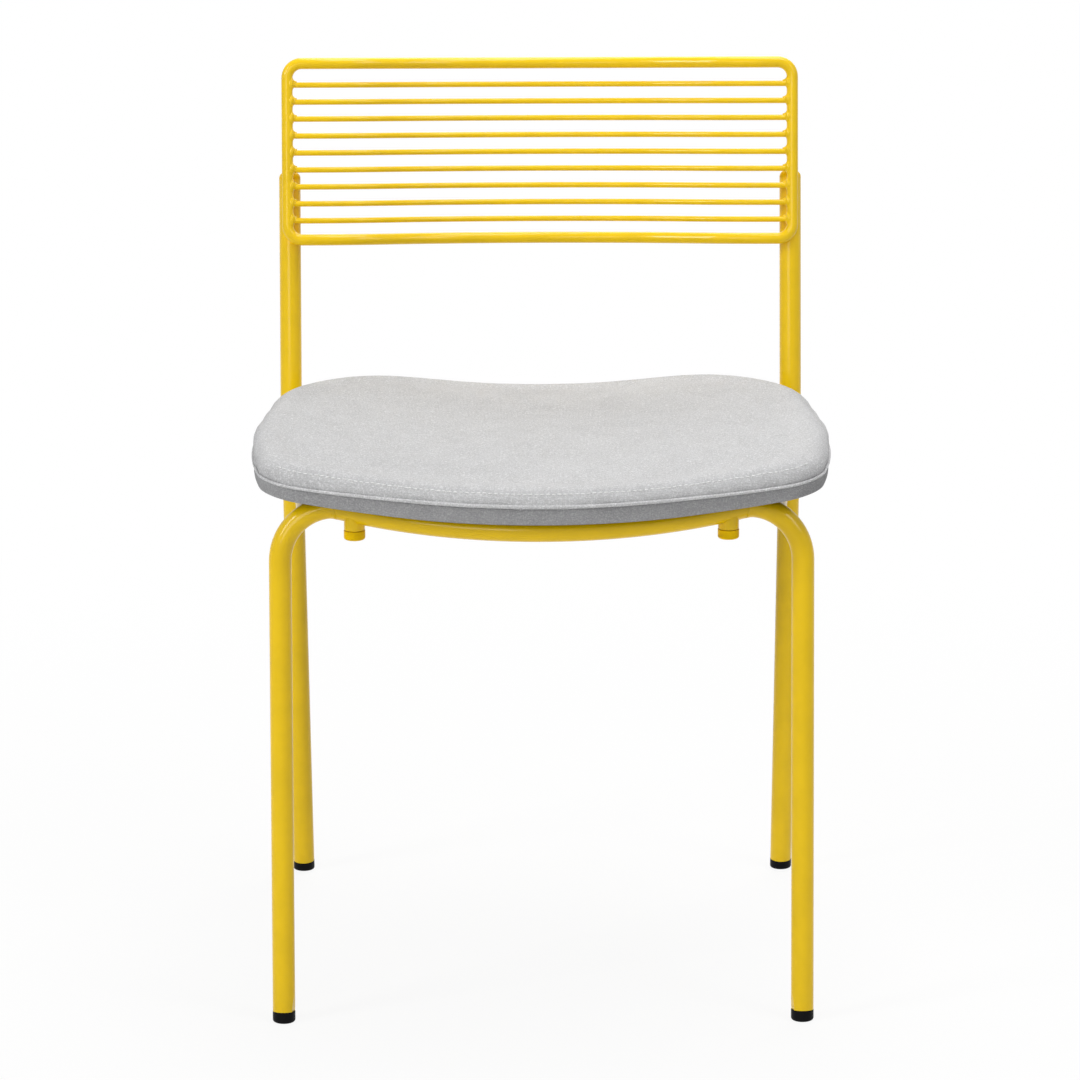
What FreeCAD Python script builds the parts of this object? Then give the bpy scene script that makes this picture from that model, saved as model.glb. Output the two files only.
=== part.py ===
import FreeCAD, Part
import os
from math import asin, atan, cos, degrees, pi, radians, sin, sqrt, tan

# Dining chair: a welded tube frame with a wire back and a dished, upholstered seat pad.
# Millimetres, +Z up, the sitter faces -Y, left is -X. The origin is on the floor, at the
# middle of the chair's width and depth.

# Tubes, rods and wires
tube_d = 19.0
tube_wall = 1.5
rail_d = 16.0
rail_wall = 1.5
loop_rod_d = 10.0
wire_d = 5.0

# Feet: axis to axis on the floor, and the glide caps that close the tubes
foot_spread_front = 438.6
foot_spread_rear = 436.4
base_depth = 444.3
glide_proud = 0.1
glide_h = 9.0
glide_edge_r = 2.2
glide_stem_len = 14.0

# Front frame: raked legs that turn inwards into arms, and a bowed rail between the arms
front_rake = 6.7
front_bend_r = 45.5
front_rail_bow = 46.0

# Side rails start part way up the front legs' bends: degrees up from the arm
side_rail_start = 60.0

# Rear uprights: raked below the bend, leaning back above it. The bend is placed from the
# underside of the seat board.
upright_spread = 444.6
upright_bend_rise = 4.1
upright_rake = 6.7
upright_lean = 9.5
upright_bend_r = 160.0
upright_cap_h = 6.5
upright_cap_edge_r = 6.0
upright_plug_len = 8.0

# Back: a closed rod loop on the front of the uprights, filled with level wires. Its sides
# stand a little outside the uprights' axes. Rails and wires start flat at the loop's sides,
# ease backwards, run straight for a little and then into one round bow.
loop_rise = 153.8
loop_aside = 1.4
loop_height = 156.0
loop_corner_r = 13.0
loop_lap = 53.6
back_flat = 50.0
back_turn = 29.0
back_ease_r = 135.0
back_straight = 18.5
wire_count = 9
wire_margin_low = 17.0
wire_margin_high = 19.0

# Seat: plan outline by its corner points and their round radii. The nose and the front and
# wide corners are placed from the front feet, the rear corners from the uprights' bends.
# The round of the wide corner starts a short straight behind the front corner's round.
seat_nose = 34.0
seat_nose_r = 600.0
seat_front_aside = 13.2
seat_front_y = 16.7
seat_front_r = 46.0
seat_wide_aside = 29.3
seat_wide_y = 113.5
seat_side_straight = 1.6
seat_rear_inside = 7.3
seat_rear_behind = 16.4
seat_rear_r = 165.0

# Seat section: height of the board's underside, dish radii, and what lies above it
seat_under_z = 435.9
dish_front_r = 1774.0
dish_rear_r = 1110.0
board_t = 9.0
pad_t = 28.5
pad_crown = 3.0
pad_edge_r = 11.5
cover_t = 2.2
welt_h = 14.0
welt_d = 3.0
welt_proud = 1.4
welt_round_r = 1.35
border_t = 1.2
border_draw_in = 1.0
dust_cover_t = 0.6
dust_cover_inset = 14.0

# Seat fixings: tabs on the rails, screws up through them into tee nuts in the board
fix_half_front = 110.0
fix_half_rear = 110.0
tab_w = 26.0
tab_len = 32.0
tab_t = 3.0
screw_d = 6.0
screw_head_d = 11.0
screw_head_h = 3.6
screw_socket_d = 4.0
screw_socket_deep = 2.2
screw_len = 14.0
nut_barrel_d = 8.0
nut_flange_d = 18.0
nut_flange_t = 1.2

# Stacking bumpers under the front rail, placed from the rail's ends
bumper_inset = 17.3
bumper_stub_d = 17.5
bumper_stub_wall = 2.0
bumper_drop = 5.5
bumper_cap_d = 18.0
bumper_cap_h = 8.5
bumper_cap_edge_r = 2.0
bumper_stem_len = 4.0

# Weld beads
bead_d = 3.2
wire_bead_d = 2.6
wire_bead_tip = 0.6

# Clearances
weld_gap = 0.1
plug_gap = 0.1
rest_gap = 0.3
pad_gap = 0.2
screw_gap = 0.3
ring_gap = 0.6

SIDES = (("left", -1), ("right", 1))
UP = FreeCAD.Vector(0, 0, 1)
REACH = 4.0 * (base_depth + foot_spread_front)
TINY = 1e-4


def vec(x, y, z):
    return FreeCAD.Vector(x, y, z)


def unit(v):
    return v * (1.0 / v.Length)


# Half sizes and angles
tube_r = tube_d / 2
rail_r = rail_d / 2
rod_r = loop_rod_d / 2
foot_half_front = foot_spread_front / 2
foot_half_rear = foot_spread_rear / 2
upright_half = upright_spread / 2
loop_half = upright_half + loop_aside
glide_d = tube_d + 2 * glide_proud
lean = radians(upright_lean)
rake = radians(upright_rake)
turn = radians(back_turn)
upright_bend_z = seat_under_z + upright_bend_rise
bend_reach = base_depth - upright_bend_z * tan(rake)

# Corner points of the seat's outline
seat_front_half = foot_half_front + seat_front_aside
seat_wide_half = foot_half_front + seat_wide_aside
seat_rear_half = upright_half - seat_rear_inside
seat_rear_y = bend_reach + seat_rear_behind

# Bow of the back: its corner point and its depth at mid-width, behind the loop's sides
bow_half = loop_half - back_flat
bow_corner = bow_half * tan(turn)
back_bow_r = (bow_half / cos(turn) - back_ease_r * tan(turn / 2) - back_straight) / tan(turn)
bow_depth = bow_corner - back_bow_r * (1 / cos(turn) - 1)
loop_stand_off = tube_r + rod_r + weld_gap

# Where things stand: the chair is centred on its depth, from the seat's nose to the back's
# top rail or the rear glides, whichever reaches further
nose_turn = atan((seat_front_y + seat_nose) / seat_front_half)
nose_reach = seat_nose - seat_nose_r * (1 / cos(nose_turn) - 1) + welt_proud
glide_reach = base_depth + glide_d / 2 / cos(rake)
top_reach = bend_reach + (loop_rise + loop_height) * sin(lean)
top_reach = top_reach + (bow_depth - loop_stand_off) * cos(lean) + rod_r
front_foot_y = (nose_reach - max(glide_reach, top_reach)) / 2
rear_foot_y = front_foot_y + base_depth
section_front_y = front_foot_y - seat_nose - tube_d
section_rear_y = front_foot_y + seat_rear_y + tube_d


def dish_radius(y):
    """Radius of the seat's dish across the chair, at depth y."""
    share = (y - section_front_y) / (section_rear_y - section_front_y)
    return 1.0 / ((1 - share) / dish_front_r + share / dish_rear_r)


def under_z(x, y):
    """Height of the seat board's underside."""
    r = dish_radius(y)
    return seat_under_z + r - sqrt(r * r - x * x)


def rail_z(x, y, radius):
    """Height of the axis of a rail that carries the seat at (x, y)."""
    return under_z(x, y) - dust_cover_t - rest_gap - radius


# Paths and solids used throughout

def bent_path(points, radii, closed=False):
    """Straight runs joined by tangent arcs; radii has one value per point, 0 at open ends."""
    count = len(points)
    edges = []
    first = None
    last = None
    for i in range(count):
        here = points[i]
        if radii[i] == 0:
            start = here
            end = here
            arc = None
        else:
            to_before = unit(points[i - 1] - here)
            to_after = unit(points[(i + 1) % count] - here)
            half = to_before.getAngle(to_after) / 2
            start = here + to_before * (radii[i] / tan(half))
            end = here + to_after * (radii[i] / tan(half))
            bisector = unit(to_before + to_after)
            middle = here + bisector * (radii[i] / sin(half) - radii[i])
            arc = Part.Arc(start, middle, end).toShape()
        if last is not None and last.distanceToPoint(start) > TINY:
            edges.append(Part.LineSegment(last, start).toShape())
        if arc is not None:
            edges.append(arc)
        if first is None:
            first = start
        last = end
    if closed and last.distanceToPoint(first) > TINY:
        edges.append(Part.LineSegment(last, first).toShape())
    return Part.Wire(edges)


def rod(path, d):
    """Solid round bar along a path."""
    edge = path.Edges[0]
    begin = edge.valueAt(edge.FirstParameter)
    ahead = edge.tangentAt(edge.FirstParameter)
    section = Part.Wire([Part.Circle(begin, ahead, d / 2).toShape()])
    return path.makePipeShell([section], True, False)


def tube(path, d, wall):
    """Round tube along a path, open at both ends."""
    return rod(path, d).cut(rod(path, d - 2 * wall))


def bar(a, b, d):
    """Solid cylinder between two points."""
    return Part.makeCylinder(d / 2, (b - a).Length, a, b - a)


def beyond(point, normal):
    """Half space on the side that the normal points to."""
    block = Part.makeBox(REACH, REACH, REACH, vec(-REACH / 2, -REACH / 2, 0))
    block.Placement = FreeCAD.Placement(point, FreeCAD.Rotation(UP, normal))
    return block


def turned(profile, point, axis):
    """Solid of revolution of a (radius, height) outline, stood on a point along an axis."""
    wire = Part.makePolygon([vec(r, 0, h) for r, h in profile + profile[:1]])
    solid = Part.Face(wire).revolve(vec(0, 0, 0), UP, 360)
    solid.Placement = FreeCAD.Placement(point, FreeCAD.Rotation(UP, axis))
    return solid


def round_edges(solid, radius, chosen):
    """Fillet the edges that a test picks."""
    return solid.makeFillet(radius, [e for e in solid.Edges if chosen(e)])


def bead_ring(point, axis, radius, d, neighbours):
    """Weld bead round a tube, trimmed back from the pieces that it joins."""
    ring = Part.makeTorus(radius, d / 2, point, axis)
    for other in neighbours:
        ring = ring.cut(other)
    return ring.Solids


def save(node, shapes):
    """Write one node; a list of solids becomes a group."""
    shape = shapes[0] if len(shapes) == 1 else Part.makeCompound(shapes)
    shape.exportStep("parts/" + node + ".step")


# Front frame
rake_dir = vec(0, sin(radians(front_rake)), cos(radians(front_rake)))
arm_half = foot_half_front - front_bend_r
bumper_half = arm_half - bumper_inset
arm_y = front_foot_y + (seat_under_z - tube_r) * tan(radians(front_rake))
arm_z = rail_z(arm_half, arm_y, tube_r)
arm_y = front_foot_y + arm_z * tan(radians(front_rake))
nose_y = arm_y - front_rail_bow
nose_z = rail_z(0, nose_y, tube_r)
rail_middle = vec(0, nose_y, nose_z)
rail_ends = [vec(s * arm_half, arm_y, arm_z) for s in (-1, 1)]
front_rail_arc = Part.Arc(rail_ends[0], rail_middle, rail_ends[1]).toShape()


def front_leg_path(s):
    """From the top of the glide up the leg, round the bend and just past the arm's end."""
    foot = vec(s * foot_half_front, front_foot_y, 0) + rake_dir * glide_h
    corner = vec(s * foot_half_front, arm_y, arm_z)
    arm_end = vec(s * (arm_half - tube_r), arm_y, arm_z)
    return bent_path([foot, corner, arm_end], [0, front_bend_r, 0])


def front_rail_path():
    """The bowed rail, run on straight past both ends so that it can be mitred."""
    low = front_rail_arc.tangentAt(front_rail_arc.FirstParameter)
    high = front_rail_arc.tangentAt(front_rail_arc.LastParameter)
    lead_in = Part.LineSegment(rail_ends[0] - low * tube_r, rail_ends[0]).toShape()
    lead_out = Part.LineSegment(rail_ends[1], rail_ends[1] + high * tube_r).toShape()
    return Part.Wire([lead_in, front_rail_arc, lead_out])


def rail_point(x):
    """Point of the front rail's axis at a given x."""
    circle = front_rail_arc.Curve
    side = unit(rail_middle - circle.Center)
    return circle.Center + side * sqrt(circle.Radius ** 2 - x * x) + vec(x, 0, 0)


def mitre(s):
    """Joint plane between an arm and the rail: its point and its normal towards the rail."""
    end = rail_ends[0] if s < 0 else rail_ends[1]
    if s < 0:
        along = front_rail_arc.tangentAt(front_rail_arc.FirstParameter)
    else:
        along = front_rail_arc.tangentAt(front_rail_arc.LastParameter) * -1
    return end, unit(along + vec(-s, 0, 0))


def make_front_frame():
    parts = {}
    rail = tube(front_rail_path(), tube_d, tube_wall)
    for name, s in SIDES:
        point, normal = mitre(s)
        leg = tube(front_leg_path(s), tube_d, tube_wall)
        parts["front_leg_" + name] = leg.cut(beyond(point - normal * (weld_gap / 2), normal))
        rail = rail.cut(beyond(point + normal * (weld_gap / 2), normal * -1))
    parts["front_rail"] = rail
    return parts


# Rear uprights
lean_dir = vec(0, sin(lean), cos(lean))
front_dir = vec(0, -cos(lean), sin(lean))
bend_y = front_foot_y + bend_reach


def upright_axis(s):
    """Foot, bend corner and top of an upright's axis."""
    foot = vec(s * foot_half_rear, rear_foot_y, 0)
    corner = vec(s * upright_half, bend_y, upright_bend_z)
    return foot, corner, corner + lean_dir * (loop_rise + loop_lap)


def upright_path(s):
    foot, corner, top = upright_axis(s)
    start = foot + unit(corner - foot) * glide_h
    return bent_path([start, corner, top], [0, upright_bend_r, 0])


def upright_cap(s):
    """Domed plug that closes the upright's top end."""
    top = upright_axis(s)[2]
    plug_r = tube_r - tube_wall - plug_gap
    head = Part.makeCylinder(tube_r, upright_cap_h)
    head = round_edges(head, upright_cap_edge_r, lambda e: e.CenterOfMass.z > upright_cap_h / 2)
    plug = Part.makeCylinder(plug_r, upright_plug_len, vec(0, 0, -upright_plug_len))
    cap = head.fuse(plug)
    cap.Placement = FreeCAD.Placement(top, FreeCAD.Rotation(UP, lean_dir))
    return cap


def bend_inset():
    """How far the rounded bend runs inside its corner point."""
    return upright_bend_r * (1 / cos((rake + lean) / 2) - 1)


# Hidden seat rails
rear_rail_y = bend_y + bend_inset()


def rear_rail_path():
    middle = vec(0, rear_rail_y, rail_z(0, rear_rail_y, rail_r))
    end_z = rail_z(upright_half, rear_rail_y, rail_r)
    ends = [vec(s * upright_half, rear_rail_y, end_z) for s in (-1, 1)]
    return Part.Wire([Part.Arc(ends[0], middle, ends[1]).toShape()])


def side_rail_ends(s):
    """From the leg's bend to the upright."""
    up_bend = radians(side_rail_start)
    x = arm_half + front_bend_r * cos(up_bend)
    drop = front_bend_r * (1 - sin(up_bend))
    start = vec(s * x, arm_y, arm_z) - rake_dir * drop
    return start, vec(s * upright_half, rear_rail_y, upright_bend_z - rail_r)


def make_rails(legs, uprights):
    """Rear and side rails, coped to the tubes that they are welded to."""
    parts = {}
    rear = tube(rear_rail_path(), rail_d, rail_wall)
    for name, s in SIDES:
        rear = rear.cut(uprights[name])
        start, end = side_rail_ends(s)
        side = bar(start, end, rail_d).cut(bar(start, end, rail_d - 2 * rail_wall))
        parts["side_rail_" + name] = side.cut(legs[name]).cut(uprights[name])
    parts["rear_rail"] = rear
    return parts


# Back loop and wires, laid out on the leaning plane of the loop's two sides
back_origin = vec(0, bend_y, upright_bend_z) + lean_dir * loop_rise + front_dir * loop_stand_off
wire_pitch = (loop_height - wire_margin_low - wire_margin_high) / (wire_count - 1)


def back_point(x, height, set_back):
    return back_origin + vec(x, 0, 0) + lean_dir * height - front_dir * set_back


def level_points(height):
    """Corner points of a rail or wire, from the left side of the loop to the right."""
    plan = [(-loop_half, 0), (-bow_half, 0), (0, bow_corner), (bow_half, 0), (loop_half, 0)]
    return [back_point(x, height, set_back) for x, set_back in plan]


def level_radii(end_r):
    return [end_r, back_ease_r, back_bow_r, back_ease_r, end_r]


def loop_path():
    points = level_points(0) + level_points(loop_height)[::-1]
    return bent_path(points, level_radii(loop_corner_r) * 2, closed=True)


def wire_height(i):
    """Wires are numbered from the top."""
    return wire_margin_low + wire_pitch * (wire_count - 1 - i)


def wire_solid(i, sides):
    solid = rod(bent_path(level_points(wire_height(i)), level_radii(0)), wire_d)
    for side in sides:
        solid = solid.cut(side)
    return solid


def loop_side(s, d):
    """Straight side of the loop as a plain bar, for coping and beads."""
    return bar(back_point(s * loop_half, 0, 0), back_point(s * loop_half, loop_height, 0), d)


def make_back():
    parts = {"back_loop": rod(loop_path(), loop_rod_d)}
    sides = [loop_side(s, loop_rod_d + 2 * weld_gap) for s in (-1, 1)]
    for i in range(wire_count):
        parts["back_wire_%d" % (i + 1)] = wire_solid(i, sides)
    return parts


def collar_r():
    """Outer radius of the weld round a wire's end."""
    return wire_d / 2 + weld_gap + wire_bead_d / 2


def wire_bead(s, i):
    """Collar of weld where a wire meets the loop's side."""
    outer = back_point(s * loop_half, wire_height(i), 0)
    along = vec(-s, 0, 0)
    bore = wire_d / 2 + weld_gap
    rim = collar_r()
    foot = sqrt((rod_r + weld_gap) ** 2 - rim ** 2) - weld_gap
    tip = rod_r + wire_bead_d / 2
    section = [(bore, foot), (rim, foot), (bore + wire_bead_tip, tip), (bore, tip)]
    return turned(section, outer, along).cut(loop_side(s, loop_rod_d + 2 * weld_gap))


def loop_bead(s, side):
    """Bead in the groove between the loop's side and the upright, on one side of it."""
    upright = upright_axis(s)
    from_tube = tube_r + weld_gap
    from_rod = rod_r + weld_gap + bead_d / 2
    ahead = (loop_stand_off ** 2 + from_tube ** 2 - from_rod ** 2) / (2 * loop_stand_off)
    aside = sqrt(from_tube ** 2 - ahead ** 2)
    centre = front_dir * ahead + vec(s * loop_half - s * upright_half + side * aside, 0, 0)
    low = upright[1] + lean_dir * (loop_rise + loop_corner_r) + centre
    high = upright[1] + lean_dir * (loop_rise + loop_lap - bead_d) + centre
    bead = bar(low, high, bead_d)
    for i in range(wire_count):
        level = back_point(s * loop_half, wire_height(i), 0)
        bead = bead.cut(bar(level, level - vec(s * loop_rod_d, 0, 0), 2 * (collar_r() + weld_gap)))
    upright_bar = bar(upright[1], upright[2], tube_d + 2 * weld_gap)
    return bead.cut(upright_bar).cut(loop_side(s, loop_rod_d + 2 * weld_gap)).Solids


# Seat

def half_turn(before, corner, after):
    """Half the angle that a path turns through at a corner."""
    return (corner - before).getAngle(after - corner) / 2


def seat_outline(grow):
    """Plan outline of the pad as a flat face, grown outwards or drawn in."""
    nose = vec(0, front_foot_y - seat_nose, 0)
    front = vec(seat_front_half, front_foot_y + seat_front_y, 0)
    wide = vec(seat_wide_half, front_foot_y + seat_wide_y, 0)
    rear = vec(seat_rear_half, front_foot_y + seat_rear_y, 0)
    front_run = seat_front_r * tan(half_turn(nose, front, wide))
    wide_run = (wide - front).Length - front_run - seat_side_straight
    wide_r = wide_run / tan(half_turn(front, wide, rear))
    right = [front, wide, rear]
    left = [vec(-p.x, p.y, 0) for p in reversed(right)]
    radii = [seat_front_r, wide_r, seat_rear_r]
    wire = bent_path([nose] + right + left, [seat_nose_r] + radii + radii[::-1], closed=True)
    if grow != 0:
        wire = wire.makeOffset2D(grow)
    return Part.Face(wire)


def seat_prism(grow):
    """Upright block of the seat's plan."""
    face = seat_outline(grow)
    face.translate(vec(0, 0, seat_under_z / 2))
    return face.extrude(vec(0, 0, seat_under_z))


def dish_section(y, low, high):
    """Closed section across the seat between two heights above the board's underside."""
    half = seat_wide_half + tube_d

    def arc(rise):
        ends = [vec(s * half, y, under_z(half, y) + rise) for s in (-1, 1)]
        return Part.Arc(ends[0], vec(0, y, under_z(0, y) + rise), ends[1]).toShape(), ends

    lower, low_ends = arc(low)
    upper, high_ends = arc(high)
    right = Part.LineSegment(low_ends[1], high_ends[1]).toShape()
    left = Part.LineSegment(high_ends[0], low_ends[0]).toShape()
    return Part.Wire([lower, right, upper, left])


def dished_slab(low, high):
    """Layer of even thickness that follows the dish."""
    sections = [dish_section(y, low, high) for y in (section_front_y, section_rear_y)]
    return Part.makeLoft(sections, True, True)


def crowned_slab(low, high):
    """Layer whose top also swells by the crown, half way back."""
    middle_y = (section_front_y + section_rear_y) / 2
    sections = [
        dish_section(section_front_y, low, high),
        dish_section(middle_y, low, high + pad_crown),
        dish_section(section_rear_y, low, high),
    ]
    return Part.makeLoft(sections, True, False)


def rise_of(face):
    """How far a face looks up: 1 for a level top, -1 for a level underside."""
    low_u, high_u, low_v, high_v = face.ParameterRange
    return face.normalAt((low_u + high_u) / 2, (low_v + high_v) / 2).z


def crowned_pad(grow, low, high, edge_r):
    """Pad block with its top rim rolled over."""
    block = seat_prism(grow).common(crowned_slab(low, high)).Solids[0]
    roll = min(edge_r, high - low - pad_gap)
    return block.makeFillet(roll, max(block.Faces, key=rise_of).Edges)


def fix_points():
    """Seat fixings: x and y of each hole, and the yaw that squares its tab to the rail."""
    points = []
    for s in (-1, 1):
        rail = rail_point(s * fix_half_front)
        yaw = asin(rail.x / front_rail_arc.Curve.Radius)
        reach = sqrt(tube_r ** 2 - (tube_r - tab_t) ** 2) + rest_gap + tab_len / 2
        points.append((rail.x - reach * sin(yaw), rail.y + reach * cos(yaw), degrees(yaw)))
    for s in (-1, 1):
        reach = sqrt(rail_r ** 2 - (rail_r - tab_t) ** 2) + rest_gap + tab_len / 2
        points.append((s * fix_half_rear, rear_rail_y - reach, 0))
    return points


def on_seat(solid, point):
    """Move a fixing made on the Z axis to its place, square to the board's underside."""
    x, y, yaw = point
    slope = degrees(atan(x / sqrt(dish_radius(y) ** 2 - x * x)))
    placed = solid.copy()
    tilt = FreeCAD.Rotation(vec(0, 1, 0), -slope) * FreeCAD.Rotation(UP, yaw)
    placed.Placement = FreeCAD.Placement(vec(x, y, under_z(x, y)), tilt)
    return placed


def tab_solid():
    top = -dust_cover_t - rest_gap
    plate = Part.makeBox(tab_w, tab_len, tab_t, vec(-tab_w / 2, -tab_len / 2, top - tab_t))
    plate = round_edges(plate, tab_t, lambda e: abs(e.tangentAt(e.FirstParameter).z) > 0.9)
    return plate.cut(bar(vec(0, 0, top - tab_t), vec(0, 0, top), screw_d + 2 * screw_gap))


def screw_solid():
    seat = -dust_cover_t - rest_gap - tab_t - weld_gap
    shank = bar(vec(0, 0, seat), vec(0, 0, seat + screw_len), screw_d)
    head = bar(vec(0, 0, seat - screw_head_h), vec(0, 0, seat), screw_head_d)
    head = round_edges(head, screw_head_h / 2, lambda e: e.CenterOfMass.z < seat - screw_head_h / 2)
    hexagon = [
        vec(screw_socket_d / 2 * cos(k * pi / 3), screw_socket_d / 2 * sin(k * pi / 3),
            seat - screw_head_h) for k in range(7)]
    socket = Part.Face(Part.makePolygon(hexagon)).extrude(vec(0, 0, screw_socket_deep))
    return head.fuse(shank).cut(socket)


def tee_nut_solid():
    barrel = bar(vec(0, 0, rest_gap), vec(0, 0, board_t + pad_gap), nut_barrel_d)
    low = board_t + pad_gap
    flange = bar(vec(0, 0, low), vec(0, 0, low + nut_flange_t), nut_flange_d)
    bore = bar(vec(0, 0, 0), vec(0, 0, low + nut_flange_t), screw_d + 2 * plug_gap)
    return barrel.fuse(flange).cut(bore)


def make_seat():
    parts = {}
    core = -cover_t - pad_gap
    hole = bar(vec(0, 0, -board_t), vec(0, 0, 2 * board_t), nut_barrel_d + 2 * screw_gap)
    pocket_top = board_t + 2 * pad_gap + nut_flange_t
    pocket = bar(vec(0, 0, 0), vec(0, 0, pocket_top + pad_gap), nut_flange_d + 2 * screw_gap)
    tip = bar(vec(0, 0, 0), vec(0, 0, screw_len), nut_barrel_d)
    dust_hole = bar(vec(0, 0, -board_t), vec(0, 0, board_t), screw_d + 2 * screw_gap)

    board = seat_prism(core).common(dished_slab(0, board_t))
    foam = crowned_pad(core, board_t + pad_gap, pad_t - cover_t - pad_gap, pad_edge_r - cover_t)
    dust = seat_prism(-dust_cover_inset).common(dished_slab(-dust_cover_t, -pad_gap))
    for point in fix_points():
        board = board.cut(on_seat(hole, point))
        foam = foam.cut(on_seat(pocket, point)).cut(on_seat(tip, point))
        dust = dust.cut(on_seat(dust_hole, point))
    parts["seat_board"] = board
    parts["seat_foam"] = foam
    parts["seat_dust_cover"] = dust

    welt_low = welt_h - welt_d / 2
    welt_high = welt_h + welt_d / 2
    inner = seat_prism(-cover_t)
    outer_cover = crowned_pad(0, welt_high + pad_gap, pad_t, pad_edge_r)
    inner_cover = crowned_pad(-cover_t, welt_low, pad_t - cover_t, pad_edge_r - cover_t)
    parts["seat_cover"] = outer_cover.cut(inner_cover)
    ring = seat_prism(-border_draw_in).cut(seat_prism(-border_draw_in - border_t))
    parts["seat_border"] = ring.common(dished_slab(0, welt_low - pad_gap))
    ring = seat_prism(welt_proud).common(dished_slab(welt_low, welt_high)).Solids[0]
    rims = min(ring.Faces, key=rise_of).Edges + max(ring.Faces, key=rise_of).Edges
    ring = ring.makeFillet(welt_round_r, rims)
    parts["seat_welt"] = ring.cut(inner)
    return parts


def make_fixings():
    points = fix_points()
    return {
        "seat_tabs": [on_seat(tab_solid(), p) for p in points],
        "seat_screws": [on_seat(screw_solid(), p) for p in points],
        "seat_tee_nuts": [on_seat(tee_nut_solid(), p) for p in points],
    }


# Feet and bumpers

def glide(foot, axis):
    """Cap under a leg, flush with the tube, flat on the floor, with a stem in the bore."""
    cap = bar(foot - axis * glide_h, foot + axis * glide_h, glide_d)
    cap = cap.cut(beyond(vec(0, 0, 0), UP * -1))
    cap = cap.cut(beyond(foot + axis * (glide_h - plug_gap), axis))
    cap = round_edges(cap, glide_edge_r, lambda e: e.BoundBox.ZMax < TINY)
    stem_r = tube_r - tube_wall - plug_gap
    top = foot + axis * (glide_h - plug_gap)
    return cap.fuse(bar(top, top + axis * glide_stem_len, 2 * stem_r))


def make_glides():
    parts = {}
    for name, s in SIDES:
        front = vec(s * foot_half_front, front_foot_y, 0)
        parts["glide_front_" + name] = glide(front, rake_dir)
        foot, corner, top = upright_axis(s)
        parts["glide_rear_" + name] = glide(foot, unit(corner - foot))
    return parts


def bumper_levels(s):
    """Axis point on the rail, the stub's lower end and the cap's lower end."""
    axis = rail_point(s * bumper_half)
    stub_low = axis.z - tube_r - bumper_drop
    return axis, stub_low, stub_low - bumper_cap_h


def make_bumpers(rail):
    parts = {}
    for name, s in SIDES:
        axis, stub_low, cap_low = bumper_levels(s)
        foot = vec(axis.x, axis.y, stub_low)
        stub = bar(foot, axis, bumper_stub_d)
        stub = stub.cut(bar(foot, axis, bumper_stub_d - 2 * bumper_stub_wall))
        parts["bumper_stub_" + name] = stub.cut(rail).Solids[0]
        low = vec(axis.x, axis.y, cap_low)
        cap = bar(low, foot - UP * ring_gap, bumper_cap_d)
        cap = round_edges(cap, bumper_cap_edge_r, lambda e: e.CenterOfMass.z < cap_low + TINY)
        stem = bar(low + UP * bumper_cap_edge_r, foot + UP * bumper_stem_len,
                   bumper_stub_d - 2 * bumper_stub_wall - 2 * plug_gap)
        parts["bumper_cap_" + name] = cap.fuse(stem)
    return parts


# Weld beads of the frame

def upright_near(point):
    """Left upright at a point near its bend, as a plain bar just wide enough to hold the bend."""
    bend = upright_path(-1).Edges[1]
    here = bend.Curve.parameter(point)
    middle = bend.valueAt(here)
    half = bend.tangentAt(here) * tube_d
    sag = tube_d ** 2 / (8 * upright_bend_r)
    return bar(middle - half, middle + half, tube_d + 2 * (weld_gap + sag))


def make_welds(leg):
    """Beads of the left side, and their mirror images on the right."""
    point, normal = mitre(-1)
    along = front_rail_arc.tangentAt(front_rail_arc.FirstParameter)
    ways = (vec(tube_r, 0, 0), along * tube_r)
    arm_bar, rail_bar = [bar(point - way, point + way, tube_d + 4 * weld_gap) for way in ways]
    seat_side = beyond(point + UP * tube_r, UP)
    beads = bead_ring(point, normal, tube_r, bead_d, [arm_bar, rail_bar, seat_side])
    start, end = side_rail_ends(-1)
    side = bar(start, end, rail_d + 2 * weld_gap)
    along = unit(end - start)
    for at, host in ((start + along * tube_r, leg), (end - along * tube_r, upright_near(end))):
        beads += bead_ring(at, along, rail_r, bead_d, [host, side])
    rear = rod(rear_rail_path(), rail_d + 2 * weld_gap)
    x = tube_r - upright_half
    at = vec(x, rear_rail_y, rail_z(x, rear_rail_y, rail_r))
    beads += bead_ring(at, vec(1, 0, 0), rail_r, bead_d, [upright_near(at), rear])
    return beads + [bead.mirror(vec(0, 0, 0), vec(1, 0, 0)) for bead in beads]


def main():
    os.makedirs("parts", exist_ok=True)
    fat = tube_d + 2 * weld_gap
    legs = {name: rod(front_leg_path(s), fat) for name, s in SIDES}
    uprights = {name: rod(upright_path(s), fat) for name, s in SIDES}
    rail = rod(front_rail_path(), fat)

    parts = make_front_frame()
    for name, s in SIDES:
        parts["rear_upright_" + name] = tube(upright_path(s), tube_d, tube_wall)
        parts["upright_cap_" + name] = upright_cap(s)
    parts.update(make_rails(legs, uprights))
    parts.update(make_back())
    parts.update(make_glides())
    parts.update(make_bumpers(rail))
    parts.update(make_seat())
    groups = make_fixings()
    groups["frame_welds"] = make_welds(legs["left"])
    groups["loop_welds"] = [b for _, s in SIDES for side in (-1, 1) for b in loop_bead(s, side)]
    groups["wire_welds"] = [wire_bead(s, i) for _, s in SIDES for i in range(wire_count)]
    for node, shape in parts.items():
        save(node, [shape])
    for node, shapes in groups.items():
        save(node, shapes)


main()
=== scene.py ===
from math import ceil, copysign, cos, exp, pi, radians, sin, sqrt

import bmesh
import bpy
import numpy as np
from bpy.props import FloatProperty, FloatVectorProperty, IntProperty, PointerProperty
from mathutils import Matrix, Vector
from mathutils.bvhtree import BVHTree
from mathutils.kdtree import KDTree


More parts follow.
